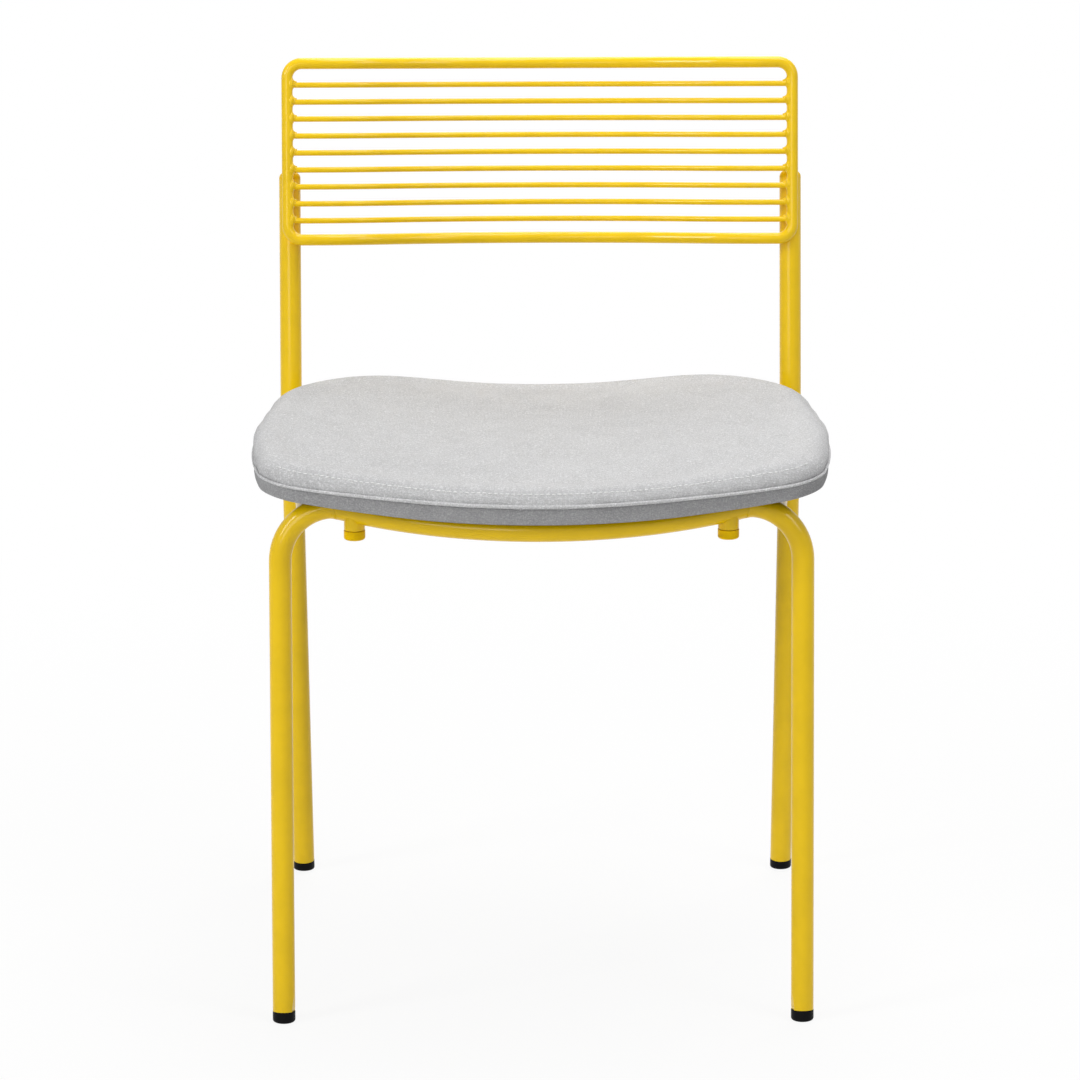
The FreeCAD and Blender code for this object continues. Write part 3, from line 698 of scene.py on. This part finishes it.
def swell(pad, seat, held):
    """Inflate the pad as cloth; held points stay and the rest move up to a limit."""
    group = pad.vertex_groups.new(name="held")
    for index, value in enumerate(held):
        if value > 0.0:
            group.add([index], value, "REPLACE")
    cloth = pad.modifiers.new("swell", "CLOTH")
    cloth.settings.quality = 5
    cloth.settings.mass = 0.25
    cloth.settings.tension_stiffness = 25.0
    cloth.settings.compression_stiffness = 25.0
    cloth.settings.bending_stiffness = 2.0
    cloth.settings.use_pressure = True
    cloth.settings.uniform_pressure_force = 4.0
    cloth.settings.vertex_group_mass = "held"
    cloth.settings.effector_weights.gravity = 0.0
    scene = bpy.context.scene
    for step in range(1, SWELL_STEPS + 1):
        scene.frame_set(step)
    graph = bpy.context.evaluated_depsgraph_get()
    count = len(pad.data.vertices)
    after = np.empty(count * 3, np.float32)
    before = np.empty(count * 3, np.float32)
    pad.evaluated_get(graph).data.vertices.foreach_get("co", after)
    pad.modifiers.remove(cloth)
    scene.frame_set(1)
    pad.data.vertices.foreach_get("co", before)
    move = (after - before).reshape(-1, 3)
    far = np.linalg.norm(move, axis=1)
    move *= np.minimum(1.0, seat.cap / np.maximum(far, 1e-9))[:, None]
    pad.data.vertices.foreach_set("co", (before + move.ravel()).astype(np.float32))
    pad.data.update()
    pad.vertex_groups.clear()


def sew_crease(pad, seat, rim):
    """Relax the swollen top and draw it in along the topstitch row."""
    bm = bmesh.new()
    bm.from_mesh(pad.data)
    seam = bm.verts.layers.float.new("seam")
    bm.normal_update()
    top = [v for v in bm.verts if v.normal.z > TOP_FACING]
    for repeat in range(RELAX_ROUNDS):
        bmesh.ops.smooth_vert(bm, verts=top, factor=0.5, use_axis_x=False, use_axis_y=False,
                              use_axis_z=True)
    bm.normal_update()
    for vert in top:
        crease = exp(-((rim_distance(rim, vert.co) - seat.stitch_in) / CREASE_WIDE) ** 2)
        crease *= 1.0 - ease(vert.co.y, seat.stitch_end - STITCH_FADE,
                             seat.stitch_end + STITCH_FADE)
        # This weight goes to the cloth, for the crease's dent and its painted shade.
        vert[seam] = crease
        vert.co -= vert.normal * (seat.crease * crease)
    bm.to_mesh(pad.data)
    bm.free()


class CHAIR_OT_seat_pad(bpy.types.Operator):
    """Make the seat's padded top: remeshed, swollen as cloth, and creased along its stitching"""
    bl_idname = "chair.seat_pad"
    bl_label = "Seat pad"

    def execute(self, context):
        seat = context.scene.chair_seat
        rim = rim_tree(seat)
        mesh = pad_block(seat)
        held = lay_pad(seat, mesh, rim)
        cloth = woven_cloth("heathered_cloth", context.scene.chair_colours.cloth, with_shaded_seam=True)
        pad = adopt("seat_pad_top", mesh, cloth, ["seat_cover", "seat_foam"])
        swell(pad, seat, held)
        sew_crease(pad, seat, rim)
        smooth_shaded(pad.data)
        finer = pad.modifiers.new("smooth", "SUBSURF")
        finer.levels = seat.subdivisions
        finer.render_levels = seat.subdivisions
        return {"FINISHED"}


class CHAIR_OT_seat_welt(bpy.types.Operator):
    """Make the welt: a round piping that runs once round the seat"""
    bl_idname = "chair.seat_welt"
    bl_label = "Seat welt"

    def execute(self, context):
        seat = context.scene.chair_seat
        size = seat.welt_size
        bm = bmesh.new()
        inner = inset_seat(bm, seat, seat.welt - size / 2, seat.welt_proud, size)
        bmesh.ops.delete(bm, geom=[inner], context="FACES")
        made = bmesh.ops.extrude_face_region(bm, geom=bm.faces[:], use_keep_orig=True)
        bmesh.ops.translate(bm, vec=(0.0, 0.0, size), verts=new_verts(made))
        face_outwards(bm)
        ridges = [e for e in bm.edges if e.calc_face_angle(0.0) > RIDGE_ANGLE]
        round_off(bm, ridges, size * WELT_ROUND, 3)
        for vert in bm.verts:
            vert.co.x -= copysign(seat.welt_ease * flank(vert.co.x, vert.co.y), vert.co.x)
        drop_on_dish(bm, seat, sagging=True)
        face_outwards(bm)
        # Its cloth is the seat cloth made lighter as a painted highlight.
        cloth = woven_cloth("welt_cloth", context.scene.chair_colours.welt)
        new_piece("seat_welt_piping", bm, cloth, ["seat_welt"])
        return {"FINISHED"}


def border_strip(bm, seat, low, high):
    """The border on the flat: an upright band with its foot folded inwards; gives its girth."""
    inner = inset_seat(bm, seat, low, -BORDER_IN, seat.turn_under)
    bmesh.ops.delete(bm, geom=[inner], context="FACES")
    tree = rim_tree(seat)
    rim = [e for e in bm.edges if e.is_boundary
           and all(rim_distance(tree, v.co) < RIM_NEAR for v in e.verts)]
    girth = sum(e.calc_length() for e in rim)
    made = bmesh.ops.extrude_edge_only(bm, edges=rim)
    bmesh.ops.translate(bm, vec=(0.0, 0.0, high - low), verts=new_verts(made))
    round_off(bm, rim, BORDER_FOLD, 3)
    upright = [e for e in bm.edges if abs(e.verts[0].co.z - e.verts[1].co.z) > BORDER_TALL]
    bmesh.ops.subdivide_edges(bm, edges=upright, cuts=BORDER_CUTS, use_grid_fill=True)
    face_outwards(bm)
    bm.normal_update()
    return girth


def draw_in_border(bm, seat, low, high):
    """Hollow the border at half its height and tuck its top in under the welt."""
    for vert in bm.verts:
        share = (vert.co.z - low) / (high - low)
        if share > BORDER_FREE:
            normal = vert.normal
            outward = normal.x * vert.co.x + normal.y * (vert.co.y - SEAT_HEART)
            depth = seat.draw_in * 4.0 * share * (1.0 - share) + seat.tuck * share ** 6
            inward = Vector((-normal.x, -normal.y, 0.0))
            vert.co += inward * copysign(depth, outward)


class CHAIR_OT_seat_border(bpy.types.Operator):
    """Make the border: a band under the welt, drawn in and folded under the board"""
    bl_idname = "chair.seat_border"
    bl_label = "Seat border"

    def execute(self, context):
        seat = context.scene.chair_seat
        low = BORDER_LOW
        high = seat.welt - seat.welt_size * BORDER_LAP
        bm = bmesh.new()
        girth = border_strip(bm, seat, low, high)
        draw_in_border(bm, seat, low, high)
        drop_on_dish(bm, seat, sagging=True)
        area = sum(f.calc_area() for f in bm.faces)
        # Its cloth is the seat cloth darkened as painted shade.
        cloth = woven_cloth("border_cloth", context.scene.chair_colours.shaded_border)
        shaded_border = new_piece("seat_border_band", bm, cloth, ["seat_border"])
        give_wall(shaded_border, BORDER_CLOTH, -1.0)
        return {"FINISHED"}


def stitch_row(seat):
    """Points of the topstitch row on the flat."""
    bm = bmesh.new()
    inner = inset_seat(bm, seat, 0.0, 0.0, seat.stitch_in)
    points = [v.co.copy() for v in inner.verts]
    bm.free()
    return points


def sew_stitch(bm, seat, hit, normal, run):
    """Lay one short thread on the pad, along the row."""
    along = (run - normal * run.dot(normal)).normalized()
    across = normal.cross(along)
    turn = Matrix((along, across, normal)).transposed().to_4x4()
    thick = seat.stitch_size / 2
    shape = Matrix.Diagonal((seat.stitch_length / 2, thick, thick, 1))
    lift = Matrix.Translation(hit + normal * STITCH_LIFT)
    bmesh.ops.create_uvsphere(bm, u_segments=8, v_segments=5, radius=1.0,
                              matrix=lift @ turn @ shape)


class CHAIR_OT_seat_stitching(bpy.types.Operator):
    """Sew the topstitch row: one short thread after another along the pad's crease"""
    bl_idname = "chair.seat_stitching"
    bl_label = "Seat stitching"

    def execute(self, context):
        seat = context.scene.chair_seat
        pad = bpy.data.objects["seat_pad_top"]
        surface = BVHTree.FromObject(pad, context.evaluated_depsgraph_get())
        points = stitch_row(seat)
        bm = bmesh.new()
        left = 0.0
        for here, ahead in zip(points, points[1:] + points[:1]):
            if here.y > seat.stitch_end:
                continue
            run = ahead - here
            while left < run.length:
                spot = here + run * (left / run.length)
                above = Vector((spot.x, spot.y, 1.0))
                hit, normal = surface.ray_cast(above, Vector((0, 0, -1)))[:2]
                if hit is None:
                    raise RuntimeError("a stitch misses the pad")
                sew_stitch(bm, seat, hit, normal, run)
                left += seat.stitch_pitch
            left -= run.length
        thread = sewing_thread(context.scene.chair_colours.thread)
        new_piece("seat_topstitch", bm, thread, [])
        return {"FINISHED"}


class CHAIR_OT_seat_lining(bpy.types.Operator):
    """Stretch the thin lining under the seat board"""
    bl_idname = "chair.seat_lining"
    bl_label = "Seat lining"

    def execute(self, context):
        seat = context.scene.chair_seat
        low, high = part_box("seat_dust_cover")
        bm = bmesh.new()
        seat_face(bm, seat, LINING_LOW, -LINING_IN)
        for axis, start, end in (((1, 0, 0), low.x, high.x), ((0, 1, 0), low.y, high.y)):
            strips = ceil((end - start) / LINING_STRIP)
            for k in range(1, strips):
                cut = Vector(axis) * (start + (end - start) * k / strips)
                bmesh.ops.bisect_plane(bm, geom=bm.verts[:] + bm.edges[:] + bm.faces[:],
                                       dist=1e-6, plane_co=cut, plane_no=axis)
        drop_on_dish(bm, seat)
        face_outwards(bm)
        area = sum(f.calc_area() for f in bm.faces)
        cloth = nonwoven(context.scene.chair_colours.lining)
        lining = new_piece("seat_lining", bm, cloth, ["seat_dust_cover"])
        give_wall(lining, LINING_CLOTH, 0.0)
        return {"FINISHED"}


# Welds

def weld_round(bm, where, inward, up, bar_r, host_r, round_r):
    """Hollow-sided ring of weld round a bar's end, kept within the width of the bar's host."""
    present = set(bm.verts)
    root = host_r * WELD_ROOT
    core = bar_r * WELD_CORE
    profile = [bm.verts.new((root, core, 0.0)), bm.verts.new((root, bar_r + round_r, 0.0))]
    for step in range(HOLLOW_STEPS + 1):
        turned = pi * (1.0 + step / (2.0 * HOLLOW_STEPS))
        profile.append(bm.verts.new((host_r + round_r + round_r * cos(turned),
                                     bar_r + round_r + round_r * sin(turned), 0.0)))
    profile.append(bm.verts.new((host_r + round_r, core, 0.0)))
    line = [bm.edges.new(pair) for pair in zip(profile, profile[1:] + profile[:1])]
    bmesh.ops.spin(bm, geom=profile + line, cent=(0, 0, 0), axis=(1, 0, 0), dvec=(0, 0, 0),
                   angle=2 * pi, steps=16, use_merge=True)
    inward = inward.normalized()
    across = inward.cross(up).normalized()
    turn = Matrix((inward, across.cross(inward), across)).transposed().to_4x4()
    slim = Matrix.Diagonal((1.0, 1.0, min(1.0, host_r * WELD_SLIM / (bar_r + round_r)), 1.0))
    bmesh.ops.transform(bm, matrix=Matrix.Translation(where) @ turn @ slim,
                        verts=[v for v in bm.verts if v not in present])


def dressed_mitre(bm, where, arm, rail, radius):
    """Smooth ground-down weld over the mitre between an arm and the front rail."""
    arm = arm.normalized()
    rail = rail.normalized()
    rings = []
    for reach, proud in MITRE_RINGS:
        share = (reach + MITRE_REACH) / (2 * MITRE_REACH)
        facing = arm.lerp(rail, share).normalized()
        centre = where + (arm if reach < 0 else rail) * reach
        turn = facing.to_track_quat("Z", "Y").to_matrix().to_4x4()
        made = bmesh.ops.create_circle(bm, cap_ends=False, segments=40, radius=radius + proud,
                                       matrix=Matrix.Translation(centre) @ turn)
        rings.append(list({e for v in made["verts"] for e in v.link_edges}))
    for first, second in zip(rings, rings[1:] + rings[:1]):
        bmesh.ops.bridge_loops(bm, edges=first + second)


def new_weld(name, bm, node):
    """Turn a bmesh of welds into a coated piece that stands for a CAD group of beads."""
    face_outwards(bm)
    new_piece(name, bm, bpy.data.materials["powder_coat"], [node])


class CHAIR_OT_back_welds(bpy.types.Operator):
    """Make the smooth welds where the wires run into the sides of the back loop"""
    bl_idname = "chair.back_welds"
    bl_label = "Back welds"

    def execute(self, context):
        sizes = context.scene.chair_welds
        rod = sizes.rod / 2
        wire = sizes.wire / 2
        loop_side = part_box("back_loop")[1].x - rod
        ends = []
        for k in range(WIRES):
            low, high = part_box("back_wire_%d" % (k + 1))
            ends.append(Vector((0.0, low.y + wire, high.z - wire + sizes.wire_rise)))
        up = ends[0] - ends[-1]
        bm = bmesh.new()
        for side in (-1, 1):
            for end in ends:
                weld_round(bm, Vector((side * loop_side, end.y, end.z)), Vector((-side, 0, 0)), up,
                           wire, rod, sizes.wire_round)
        new_weld("back_wire_rounds", bm, "wire_welds")
        return {"FINISHED"}


class CHAIR_OT_frame_welds(bpy.types.Operator):
    """Make the dressed welds of the frame: at the front rail's mitres and the hidden rails' ends"""
    bl_idname = "chair.frame_welds"
    bl_label = "Frame welds"

    def execute(self, context):
        sizes = context.scene.chair_welds
        tube = sizes.tube / 2
        rail = sizes.rail / 2
        up = Vector((0, 0, 1))
        bm = bmesh.new()
        for side in (-1, 1):
            flip = Vector((side, 1.0, 1.0))
            dressed_mitre(bm, Vector(sizes.mitre) * flip, Vector((-side, 0, 0)),
                          Vector(sizes.rail_way) * flip, tube)
            start = Vector(sizes.side_start) * flip
            end = Vector(sizes.side_end) * flip
            weld_round(bm, start, end - start, Vector(sizes.bend_way) * flip, rail, tube,
                       sizes.frame_round)
            weld_round(bm, end, start - end, up, rail, tube, sizes.frame_round)
            weld_round(bm, Vector(sizes.rear_end) * flip, Vector(sizes.rear_way) * flip, up, rail,
                       tube, sizes.frame_round)
        new_weld("frame_weld_rounds", bm, "frame_welds")
        return {"FINISHED"}


# Finishes of the CAD pieces

class CHAIR_OT_coat_frame(bpy.types.Operator):
    """Coat the welded frame, its back and its beads"""
    bl_idname = "chair.coat_frame"
    bl_label = "Frame coat"

    def execute(self, context):
        put_on(powder_coat(context.scene.chair_colours.coat), COATED)
        return {"FINISHED"}


class CHAIR_OT_plastic_caps(bpy.types.Operator):
    """Give the upright caps and bumper caps their moulded plastic"""
    bl_idname = "chair.plastic_caps"
    bl_label = "Yellow caps"

    def execute(self, context):
        yellow = context.scene.chair_colours.plastic
        put_on(moulded_plastic("yellow_plastic", yellow, gloss=0.30), CAPS)
        return {"FINISHED"}


class CHAIR_OT_glides(bpy.types.Operator):
    """Give the glides their black plastic"""
    bl_idname = "chair.glides"
    bl_label = "Glides"

    def execute(self, context):
        black = context.scene.chair_colours.glide
        put_on(moulded_plastic("black_plastic", black, gloss=0.38), GLIDES)
        return {"FINISHED"}


class CHAIR_OT_board_and_fixings(bpy.types.Operator):
    """Finish the plywood board and the zinc-plated screws and nuts"""
    bl_idname = "chair.board_and_fixings"
    bl_label = "Board and fixings"

    def execute(self, context):
        put_on(plywood(context.scene.chair_colours.ply), ["seat_board"])
        put_on(zinc_plate(context.scene.chair_colours.zinc), FIXINGS)
        return {"FINISHED"}


# Stage

def floor_finish(rgb):
    """Matt white floor that reads as paper white to the camera and keeps soft shadows."""
    finish = Finish("studio_floor")
    finish.feed(Base_Color=rgb, Roughness=0.9, Specular_IOR_Level=0.0)
    matt = Sock(finish.tree, finish.shader.outputs["BSDF"])
    glow = finish.node("ShaderNodeEmission", None, {"Strength": 1.0}, out="Emission")
    away = finish.node("ShaderNodeVectorMath", {"operation": "LENGTH"}, {0: finish.place},
                       out="Value")
    white = WHITE_SHARE + (1.0 - WHITE_SHARE) * finish.ramp(away, WHITE_NEAR, WHITE_FAR)
    mix = finish.node("ShaderNodeMixShader", None, {
        "Fac": finish.seen_directly() * white, 1: matt, 2: glow}, out="Shader")
    finish.tree.links.new(mix.socket, finish.tree.nodes["Material Output"].inputs["Surface"])
    return finish.material


def lay_floor(scene, stage):
    bm = bmesh.new()
    bmesh.ops.create_grid(bm, x_segments=2, y_segments=2, size=FLOOR_HALF)
    mesh = finished_mesh("studio_floor", bm)
    mesh.materials.append(floor_finish(tuple(stage.floor)))
    floor = bpy.data.objects.new("studio_floor", mesh)
    scene.collection.objects.link(floor)


def light_room(scene, stage):
    """Even room light that shows as white, and the lamps."""
    world = bpy.data.worlds.new("studio_room")
    world.use_nodes = True
    scene.world = world
    tree = world.node_tree
    strength = Nodes(tree).seen_directly() * (1.0 - stage.sky) + stage.sky
    sky = tree.nodes["Background"].inputs
    tree.links.new(strength.socket, sky["Strength"])
    sky["Color"].default_value = (1.0, 1.0, 1.0, 1.0)
    for name, where, size in LAMPS:
        lamp = bpy.data.lights.new(name + "_softbox", "AREA")
        lamp.shape = "RECTANGLE"
        lamp.size, lamp.size_y = size
        lamp.energy = getattr(stage, name)
        holder = bpy.data.objects.new(name + "_softbox", lamp)
        holder.location = where
        facing = Vector(AIM) - Vector(where)
        holder.rotation_euler = facing.to_track_quat("-Z", "Y").to_euler()
        scene.collection.objects.link(holder)


def set_camera(scene, stage):
    camera = bpy.data.cameras.new("photo_camera")
    camera.lens = stage.lens
    camera.sensor_width = 36.0
    camera.clip_end = 100.0
    holder = bpy.data.objects.new("photo_camera", camera)
    holder.matrix_world = (
        Matrix.Translation(stage.eye) @ Matrix.Rotation(stage.yaw, 4, "Z")
        @ Matrix.Rotation(radians(90.0) - stage.pitch, 4, "X")
        @ Matrix.Rotation(stage.roll, 4, "Z"))
    scene.collection.objects.link(holder)
    scene.camera = holder


class CHAIR_OT_stage(bpy.types.Operator):
    """Set up the floor, the lamps and the camera"""
    bl_idname = "chair.stage"
    bl_label = "Stage"

    def execute(self, context):
        scene = context.scene
        stage = scene.chair_stage
        scene.view_settings.view_transform = "Standard"
        lay_floor(scene, stage)
        light_room(scene, stage)
        set_camera(scene, stage)
        return {"FINISHED"}


OPERATORS = (
    CHAIR_OT_coat_frame, CHAIR_OT_plastic_caps, CHAIR_OT_glides, CHAIR_OT_board_and_fixings,
    CHAIR_OT_seat_pad, CHAIR_OT_seat_welt, CHAIR_OT_seat_border, CHAIR_OT_seat_stitching,
    CHAIR_OT_seat_lining, CHAIR_OT_back_welds, CHAIR_OT_frame_welds, CHAIR_OT_stage,
)


class CHAIR_PT_panel(bpy.types.Panel):
    """Sizes, colours and building steps of the chair"""
    bl_idname = "CHAIR_PT_panel"
    bl_label = "Wire-Back Chair"
    bl_space_type = "VIEW_3D"
    bl_region_type = "UI"
    bl_category = "Chair"

    def draw(self, context):
        layout = self.layout
        scene = context.scene
        for group in (scene.chair_seat, scene.chair_welds, scene.chair_colours, scene.chair_stage):
            box = layout.box()
            for name in group.__annotations__:
                box.prop(group, name)
        for operator in OPERATORS:
            layout.operator(operator.bl_idname)


CLASSES = (ChairSeatSizes, ChairWeldSizes, ChairColours, ChairStage) + OPERATORS + (CHAIR_PT_panel,)


def register():
    for cls in CLASSES:
        bpy.utils.register_class(cls)
    bpy.types.Scene.chair_seat = PointerProperty(type=ChairSeatSizes)
    bpy.types.Scene.chair_welds = PointerProperty(type=ChairWeldSizes)
    bpy.types.Scene.chair_colours = PointerProperty(type=ChairColours)
    bpy.types.Scene.chair_stage = PointerProperty(type=ChairStage)


def unregister():
    del bpy.types.Scene.chair_stage
    del bpy.types.Scene.chair_colours
    del bpy.types.Scene.chair_welds
    del bpy.types.Scene.chair_seat
    for cls in reversed(CLASSES):
        bpy.utils.unregister_class(cls)


def main():
    register()
    bpy.ops.chair.coat_frame()
    bpy.ops.chair.plastic_caps()
    bpy.ops.chair.glides()
    bpy.ops.chair.board_and_fixings()
    bpy.ops.chair.seat_pad()
    bpy.ops.chair.seat_welt()
    bpy.ops.chair.seat_border()
    bpy.ops.chair.seat_stitching()
    bpy.ops.chair.seat_lining()
    bpy.ops.chair.back_welds()
    bpy.ops.chair.frame_welds()
    bpy.ops.chair.stage()


if __name__ == "__main__":
    main()
